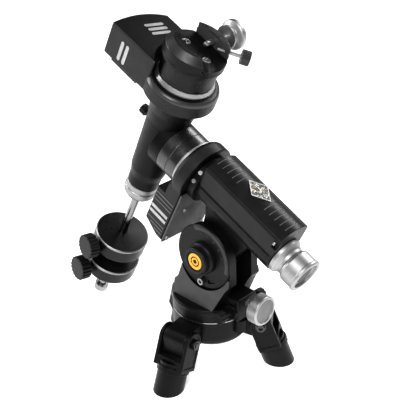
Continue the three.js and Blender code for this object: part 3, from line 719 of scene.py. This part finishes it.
def badge():
    outline = [[-22, 0], [0, -17], [22, 0], [0, 17]]
    inner = [[0.91 * x, 0.91 * y] for x, y in outline]
    frame_ring = cut(prism(outline, 50.3, 51.3), prism(inner, 50.8, 52))
    at = (0, 2, -14)
    piece("badge_frame", along_x(frame_ring, at), RA, "polar_housing", SILVER["ra"], ["ra_badge"])
    panel = prism([[0.9 * x, 0.9 * y] for x, y in outline], 50.75, 51.0)
    piece("badge_panel", along_x(panel, at), RA, "polar_housing", BADGE)


def polar_casting():
    r = 28.5
    body = soft(prism([[10, r]] + arc(0, 0, r, 90, 270, 40) + [[10, -r]], -88, 58), 1.5)
    neck = soft(rod(36, 57, 68.7, 96), 0.8, 2)
    t = YOKE_IN - 0.7
    outline = [[-16, 46], [-40, 36]] + arc(-86, 0, 30, 75, 285, 40) + [[-40, -38], [-16, -50]]
    lug = soft(side_prism(outline, -t, t), 1.5)
    tail = soft(block(-14, 14, 2 - t, t - 2, -70, 0), 2)
    lie(tail, y=90 - 25.5, at=(-86, 0, 0))
    rail = soft(block(2, 7, -HOOD_HALF + 0.3, HOOD_HALF - 0.3, -84, 54), 1.2)
    whole = join(body, neck, lug, tail, rail)
    cut(whole, rod(23, -100, 100, 64), along_y(rod(8.3, -40, 40), (-86, 0, 0)))
    piece("polar_casting", whole, RA, "polar_housing", CASTING, ["ra_housing"])
    for n, turn in enumerate((-48, -70)):
        screw = lie(along_x(hex_screw(3, 3), (35.9, 0, 63)), z=turn)
        piece(f"neck_screw_{n + 1}", screw, RA, "polar_housing", SILVER["ra"])


def keyhole(ring_r, ring_z, outline, box_z, clear_r, step_x, tools, shrink):
    """Keyhole-shaped gear housing: a rounded ring and a deeper box beside it."""
    rear, front = ring_z
    box_rear, box_front = box_z
    ring = turned(round_profile([[0, rear], [ring_r, rear], [ring_r, front - 7], [ring_r - 2, front - 2.5],
                                 [ring_r - 6, front], [0, front]], 2.5), 144)
    body = soft(prism(outline, box_rear, box_front), 2.6, 4)
    cut(body, rod(clear_r, front, box_front + 1, 96), block(step_x, 100, -100, 100, front, box_front + 1),
        *tools)
    whole = join(ring, body)
    inside = [[x + 3 if x < -60 else x, y * shrink] for x, y in outline]
    hollow = prism(inside, box_rear - 1, front - 3)
    return cut(whole, hollow, rod(ring_r - 6, rear + 3, front - 4, 64), rod(24, box_rear - 1, box_front + 1))


RA_BOX_HALF = 43.0


def polar_gear_housing():
    half = RA_BOX_HALF
    outline = [[-115, -half], [-14, -half], [-14, half], [-115, half], [-119, half - 4], [-119, 4 - half]]
    front_slope = side_prism([[-180, 60], [-119, 60], [-119, 69], [-101, 109], [-101, 118], [-180, 118]],
                             -100, 100)
    whole = keyhole(47.5, (69, 93), outline, (69, 109), 41.5, -38, [front_slope], 0.92)
    # walls other than the far ones get the lighter grey: painted light on the sides that face the lamps
    piece("polar_gear_housing", whole, RA, "polar_housing", [CASTING, BOX_SIDE_PAINTED_LIGHT], ["ra_gear_housing"],
          lambda c, n: 1 if abs(n.z) < 0.3 and n.y < 0.3 else 0)
    thin = [-46, -52.8, -59.6, -94, -100.2, -106.4, -112.6]
    ribs = [block(x - 0.7, x + 0.7, -half - 0.5, 1 - half, 71.5, 106 - max(0, (-95 - x) * 1.6)) for x in thin]
    piece("polar_box_ribs", merged(ribs), RA, "polar_housing", GREY_LINE)
    bars = [block(x - 2.6, x + 2.6, -half - 0.7, 1 - half, 73, 106) for x in (-72.5, -82.5)]
    piece("polar_box_bars", merged(bars), RA, "polar_housing", WHITE_BAR)
    plate = soft(block(-118, -20, 1 - half, half - 1, 65.7, 68.7), 0.6, 2)
    cut(plate, rod(36.5, 60, 90, 96))
    piece("polar_gear_plate", plate, RA, "polar_housing", PLATE, ["ra_gear_plate"])
    for n, (x, y) in enumerate(((-57.4, -21.7), (-57.4, 21.7), (-110, -36), (-110, 36))):
        screw = lie(soft(hex_screw(3.2, 2.8), 0.3, 2), x=180, at=(x, y, 65.8))
        piece(f"gear_plate_screw_{n + 1}", screw, RA, "polar_housing", SILVER["ra"])


def polar_rear():
    flange = turned(round_profile([[18.5, -89], [27, -89], [27, -94.4], [24, -97.5], [21.6, -101],
                                   [21.6, -105], [20.5, -105], [20.5, -113], [18.5, -113]], 0.9), 128)
    piece("polar_rear_flange", flange, RA, "polar_housing", SILVER["ra"], ["polar_flange"])
    cap = turned(round_profile([[0, -126], [21, -126], [21, -105.3], [21.8, -105.3], [25.5, -110.5],
                                [25.5, -128], [26.3, -129], [26.3, -132], [25, -133.5], [20.5, -133.5],
                                [19.5, -128.5], [0, -128.5]], 0.8), 128)
    eye = turned([[0, -130], [13, -130], [14, -128.2], [0, -128.2]], 96)
    piece("polar_cap_eye", eye, RA, "polar_cap", PLATE)
    piece("polar_cap_shell", cap, RA, "polar_cap", SILVER["ra"], ["polar_cap"])
    scale = tube(38.5, 24, 93.3, 97.5, 144)
    piece("polar_setting_ring", soft(scale, 0.5, 2), RA, "ra_setting_ring", SILVER["ra"],
          ["ra_setting_ring"])
    clutch = tube(38, 32.4, 97.8, 114, 144)
    piece("polar_clutch_ring", soft(clutch, 0.7, 3), RA, "polar_axis", NECK["ra"], ["ra_clutch_ring"])


# ---------------------------------------------------------------- declination side, on the polar axis
def declination_casting():
    body = turned(round_profile([[0, -100], [23.4, -100], [24, -99], [24.5, -82], [27.5, -68], [28.5, -40],
                                 [31, 30], [34, 50], [39, 66], [40, 82.7], [0, 82.7]], 3), 128)
    neck = turned(round_profile([[0, 12], [38, 12], [38, 30.4], [37.3, 31], [38, 31.6], [38, 48.7],
                                 [0, 48.7]], 0.7), 128)
    whole = join(body, along_x(neck))
    cut(whole, rod(18.2, -110, 100, 64), along_x(rod(3.2, -60, 0), (0, 0, 8)))
    piece("declination_casting", whole, DEC, "polar_axis", [ROUGH_CASTING, NECK["ra"]], ["dec_housing"],
          lambda c, n: 1 if c.x > 33 and abs(c.z) < 38.2 and c.xy.length > 33 else 0)
    a = -64
    screw = lie(along_x(hex_screw(2.6, 2.6), (38.6, 0, 74)), z=a)
    piece("declination_cone_screw", screw, DEC, "polar_axis", SILVER["dec"])


DEC_BOX_HALF = 45.0
DEC_BOX_END = -113.0
SIDE_BARS = (-84, -74)


def declination_gear_housing():
    half, end = DEC_BOX_HALF, DEC_BOX_END
    start, middle, stop = Vector((end + 17, half)), Vector((end - 8, half * 0.25)), Vector((end, -half))
    bow = []
    for n in range(17):
        t = n / 16
        spot = start * (1 - t) ** 2 + middle * (2 * t * (1 - t)) + stop * t ** 2
        bow.append([spot.x, spot.y])
    outline = bow + [[-24, -half], [-24, half]]
    whole = keyhole(53, (83, 104), outline, (76, 128), 50, -14, [], 0.92)
    # skirt that carries the ring's wall down to the level of the box
    skirt = turned(round_profile([[41, 77.4], [51.6, 77.4], [53, 78.8], [53, 90], [41, 90]], 1.2), 144)
    join(whole, cut(skirt, block(-80, -30, -80, 80, 70, 100)))
    piece("declination_gear_housing", whole, DEC, "polar_axis", [CASTING, BOX_SIDE_PAINTED_LIGHT, EDGE_HIGHLIGHT],
          ["dec_gear_housing"], dec_box_finish)
    side = [lie(rounded_bar(32, 5.6, 44.6, 45.5), y=90) for _ in SIDE_BARS]
    for bar, x in zip(side, SIDE_BARS):
        lie(bar, z=-90, at=(x, 0, 99.5))
    piece("declination_side_bars", merged(side), DEC, "polar_axis", WHITE_BAR)
    top = [lie(rounded_bar(31, 5.4, 127.6, 128.4), z=78, at=(x, y, 0)) for x, y in
           ((-86.3, 9), (-77.4, 9), (-68.5, 8))]
    ring = rod(50.8, 120, 135, 96)
    piece("declination_top_bars", cut(merged(top), ring), DEC, "polar_axis", WHITE_BAR)
    plate = soft(block(end + 16, -44, 2 - half, half - 2, 72.7, 75.7), 0.5, 2)
    piece("declination_gear_plate", plate, DEC, "polar_axis", COVER, ["dec_gear_plate"])


def dec_box_finish(center, normal):
    """Painted highlight on the rounded upper edges, and on the walls a lighter grey that paints in the light
    they catch.
    """
    if center.z > 97 and 0.2 < normal.z < 0.93:
        return 2
    return 1 if abs(normal.z) < 0.3 else 0


def counterweight(top):
    profile = [[0, top + 2.4], [8.5, top + 2.2], [41, top], [42.5, top - 1.5], [42.5, top - 3.2],
               [42.1, top - 3.6], [42.1, top - 25.5], [41, top - 27], [0, top - 27]]
    body = turned(round_profile(profile, 0.8), 144)
    screw_hole = lie(along_minus_y(rod(4.3, 0, 60), (0, 0, top - 13.5)), z=-10)
    return cut(body, rod(6.5, top - 60, top + 20), screw_hole)


def weight_finish(top):
    def pick(center, normal):
        radial = center.xy.length
        if radial > 40.9 and center.z > top - 3.9 and normal.z > -0.3 and center.z < top - 0.1:
            return 2
        return 1 if radial > 41 and abs(normal.z) < 0.5 else 0
    return pick


def counterweights():
    collar = turned(round_profile([[0, -100.3], [24, -100.3], [24, -108.6], [23.4, -109.3], [24, -110],
                                   [25, -111], [25, -119], [22.5, -124], [0, -124]], 0.9), 128)
    cut(collar, rod(6.5, -200, -110), rod(17, -111, 0))
    piece("shaft_collar", collar, DEC, "polar_axis", SILVER["dec"], ["cw_collar"])
    shaft = join(soft(rod(6.2, -360, -110.4, 80), 0.8, 3), rod(11, -110.7, -104, 48))
    piece("counterweight_shaft", shaft, DEC, "polar_axis", CHROME, ["cw_shaft"])
    nut = cut(soft(rod(11, -363, -351, 80), 1.2), rod(6.5, -360.3, 0))
    piece("shaft_toe_nut", nut, DEC, "toe_nut", SILVER["dec"], ["cw_toe_nut"])
    for name, top in (("upper", -220), ("lower", -274)):
        piece(f"weight_{name}", counterweight(top), DEC, f"{name}_weight",
              [WEIGHT, WEIGHT_SIDE, SILVER["dec"]], [f"counterweight_{name}"],
              weight_finish(top))
        grip = soft(fluted(19.5, 50, 66, 18, 1.5), 1.2, 3, 60)
        stem = turned([[0, 44], [4, 44], [9, 46], [9, 51], [0, 51]])
        knob = join(rod(4, 6.5, 46, 32), stem, grip)
        lie(along_minus_y(knob, (0, 0, top - 13.5)), z=-10)
        piece(f"lock_knob_{name}", knob, DEC, f"{name}_lock_knob", KNOB, [f"cw_lock_knob_{name}"])
        face = lie(along_minus_y(soft(rod(16, 65.5, 66.15, 96), 0.2, 2), (0, 0, top - 13.5)), z=-10)
        piece(f"lock_knob_face_{name}", face, DEC, f"{name}_lock_knob", KNOB_FACE)


def small_lock_knob():
    knob = join(rod(3, 19, 40, 32), soft(fluted(8, 38, 48, 9, 1), 0.7, 2, 60))
    piece("declination_lock_grip", lie(along_x(knob), z=180, at=(0, 0, 8)), DEC, "dec_clutch_knob", KNOB,
          ["dec_clutch_knob"])


# ---------------------------------------------------------------- turning with declination
SADDLE_SCREWS = (-22, 19)
SADDLE_SCREW_Y = 3
CLAMP_T = 160
SAFETY_TURN = 49


def setting_and_clutch():
    scale = turned(round_profile([[25, 104.3], [43, 104.3], [43, 106.8], [41, 112], [25, 112]], 0.5), 160)
    piece("declination_circle", scale, DEC, "dec_setting_ring", SILVER["dec"], ["dec_setting_ring"])
    ribbed = knurled(40, 116.5, 136.5, 90, 0.25)
    lips = [soft(rod(40, 112.3, 116.6, 144), 0.6, 2), soft(rod(40, 136.4, 140.7, 144), 0.6, 2)]
    whole = cut(join(ribbed, *lips), rod(20, 100, 150, 64))
    piece("declination_clutch_ring", whole, DEC, "dec_clutch_ring", CLUTCH, ["dec_clutch_ring"])


def safety_axis(thing):
    """Places a shape made along Z on the axis of the safety screw in the far jaw."""
    return lie(along_y(thing), z=-SAFETY_TURN, at=(9, 21.5, CLAMP_T))


def saddle():
    disc = turned(round_profile([[0, 141], [43, 141], [44.5, 142.4], [44.5, 146.6], [44.0, 147.1],
                                 [44.5, 147.6], [44.5, 160], [35, 170], [0, 170]], 1.2), 160)
    jaw = common(turned(round_profile([[0, 153], [43.5, 153], [43.5, 170], [0, 170]], 1.0), 160),
                 block(-60, 60, 20, 60, 100, 200))
    groove = [[-25, 152.2], [-21, 152.2], [-21, 153], [29, 153], [29, 152.2], [31, 152.2], [29.5, 170],
              [29.5, 171], [-21.5, 171], [-21.5, 170]]
    wedge = along_x(prism([[-z, y] for y, z in groove], -60, 60))
    whole = join(disc, jaw)
    screws = []
    for x in SADDLE_SCREWS:
        at = (x, SADDLE_SCREW_Y, 0)
        screws += [lie(rod(3.6, 140, 153), at=at), lie(rod(7.2, 145.2, 154), at=at)]
    cut(whole, wedge, *screws, along_y(rod(4.3, 0, 60), (0, 0, CLAMP_T)), safety_axis(rod(2.9, 0, 60)))
    whole = soft(whole, 0.35, 2, 40)
    piece("saddle_plate", whole, DEC, "declination", [CASTING, SHOULDER, JAW_FACE_PAINTED_LIGHT], ["saddle"],
          saddle_finish)
    for n, x in enumerate(SADDLE_SCREWS):
        screw = soft(hex_screw(6.5, 6.5), 0.6, 2)
        screw = join(screw, rod(3.3, -3.8, 0.5, 32))
        screw.data.transform(Matrix.Translation((x, SADDLE_SCREW_Y, 145.5)))
        piece(f"saddle_socket_screw_{n + 1}", screw, DEC, "declination", STEEL,
              [f"saddle_screw_{n + 1}"])


def saddle_finish(center, normal):
    """Lighter grey on the inner face of the far jaw, painted light for the lamps it faces, and satin on the
    sloping shoulder of the near one.
    """
    if center.z > 154 and normal.y < -0.9 and center.y > 25:
        return 2
    return 1 if center.z > 159 and 0.3 < normal.z < 0.95 and center.y < 0 else 0


def saddle_knobs():
    spool = turned(round_profile([[0, 56], [17, 56], [17, 58], [13, 61], [13, 64], [20, 67], [21.5, 68.5],
                                  [21.5, 74], [20, 75.5], [14, 75.5], [13, 74.6], [0, 74.6]], 1.1), 128)
    stem = turned(round_profile([[0, 13.5], [2.6, 13.5], [4, 17], [4, 60], [0, 60]], 1.2), 48)
    piece("saddle_clamp_spool", along_y(join(spool, stem), (0, 0, CLAMP_T)), DEC, "saddle_clamp", SILVER["y"],
          ["saddle_clamp_knob"])
    grip = soft(knurled(10.5, 40, 52, 34, 0.6), 0.3, 2, 60)
    piece("saddle_safety_grip", safety_axis(grip), DEC, "saddle_safety", KNURL, ["saddle_safety_knob"])
    stem = turned(round_profile([[0, 6], [1.6, 6], [2.6, 8], [2.6, 41], [0, 41]], 0.6), 40)
    piece("saddle_safety_stem", safety_axis(stem), DEC, "saddle_safety", SILVER["y"])


# ---------------------------------------------------------------- stage
FLOOR_GLOW = 0.55
BACKDROP_GLOW = 0.8
WORLD_STRENGTH = 0.1


def glow(mat, strength):
    shader_of(mat).inputs["Emission Color"].default_value = (1, 1, 1, 1)
    shader_of(mat).inputs["Emission Strength"].default_value = strength


def stage():
    """Pale floor and a pale wall round it that only the camera sees, so it lights nothing."""
    floor_mesh = bpy.data.meshes.new("floor")
    size = 9.0
    floor_mesh.from_pydata([(-size, -size, 0), (size, -size, 0), (size, size, 0), (-size, size, 0)], [],
                           [(0, 1, 2, 3)])
    floor = bpy.data.objects.new("floor", floor_mesh)
    bpy.context.scene.collection.objects.link(floor)
    pale = new_material("pale_floor", (0.95, 0.95, 0.95), 0.9)
    glow(pale, FLOOR_GLOW)
    floor_mesh.materials.append(pale)
    backdrop = tube(8.9, 8.8, -0.05, 9, 96)
    backdrop.name = "backdrop"
    wall = new_material("pale_backdrop", (0, 0, 0), 1)
    shader_of(wall).inputs["Specular IOR Level"].default_value = 0
    glow(wall, BACKDROP_GLOW)
    backdrop.data.materials.append(wall)
    for kind in ("diffuse", "glossy", "transmission", "shadow"):
        setattr(backdrop, f"visible_{kind}", False)
    world = bpy.data.worlds.new("studio")
    world.use_nodes = True
    world.node_tree.nodes["Background"].inputs["Color"].default_value = (1, 1, 1, 1)
    world.node_tree.nodes["Background"].inputs["Strength"].default_value = WORLD_STRENGTH
    bpy.context.scene.world = world
    bpy.context.scene.view_settings.view_transform = "Standard"
    bpy.context.scene.view_settings.look = "Medium High Contrast"


def area_light(name, at, aim, size, power):
    lamp = bpy.data.lights.new(name, "AREA")
    lamp.shape = "RECTANGLE"
    lamp.size, lamp.size_y = size
    lamp.energy = power
    thing = bpy.data.objects.new(name, lamp)
    thing.location = at
    thing.rotation_euler = (Vector(aim) - Vector(at)).to_track_quat("-Z", "Y").to_euler()
    bpy.context.scene.collection.objects.link(thing)


def camera():
    azimuth, elevation = math.radians(43.5), math.radians(27.5)
    lens = bpy.data.cameras.new("camera")
    lens.sensor_width = 36
    lens.lens = 90
    thing = bpy.data.objects.new("camera", lens)
    thing.location = (0.8467, -0.9160, 0.9141)
    back = Vector((math.sin(azimuth) * math.cos(elevation), -math.cos(azimuth) * math.cos(elevation),
                   math.sin(elevation)))
    thing.rotation_euler = back.to_track_quat("Z", "Y").to_euler()
    bpy.context.scene.collection.objects.link(thing)
    bpy.context.scene.camera = thing


def lights():
    aim = (-0.02, 0, 0.25)
    area_light("key", (0.9, -1.6, 1.9), aim, (0.9, 0.9), 38)
    area_light("left", (-1.9, -0.9, 1.2), aim, (0.6, 1.6), 27)
    area_light("back", (0.2, 1.8, 1.6), aim, (1.6, 0.6), 30)


stage()
camera()
lights()
tripod_head()
legs()
piece("azimuth_casting", azimuth_casting(), WORLD, "azimuth", [CASTING, FACET_PAINTED_LIGHT], ["azimuth_head"],
      is_facet)
latitude_disc()
altitude_cap()
adjusting_knobs()
hood()
badge()
polar_casting()
polar_gear_housing()
polar_rear()
declination_casting()
declination_gear_housing()
counterweights()
small_lock_knob()
setting_and_clutch()
saddle()
saddle_knobs()
carry(STEEL, "azimuth_bolt", "azimuth_peg", "altitude_axle", "ra_shaft", "dec_shaft", "ra_worm", "dec_worm")
carry(BRASS, "ra_worm_wheel", "dec_worm_wheel")
carry(NECK["dec"], "ra_worm_carrier", "dec_worm_carrier", "ra_motor", "dec_motor")
carry(BOARD, "circuit_board")
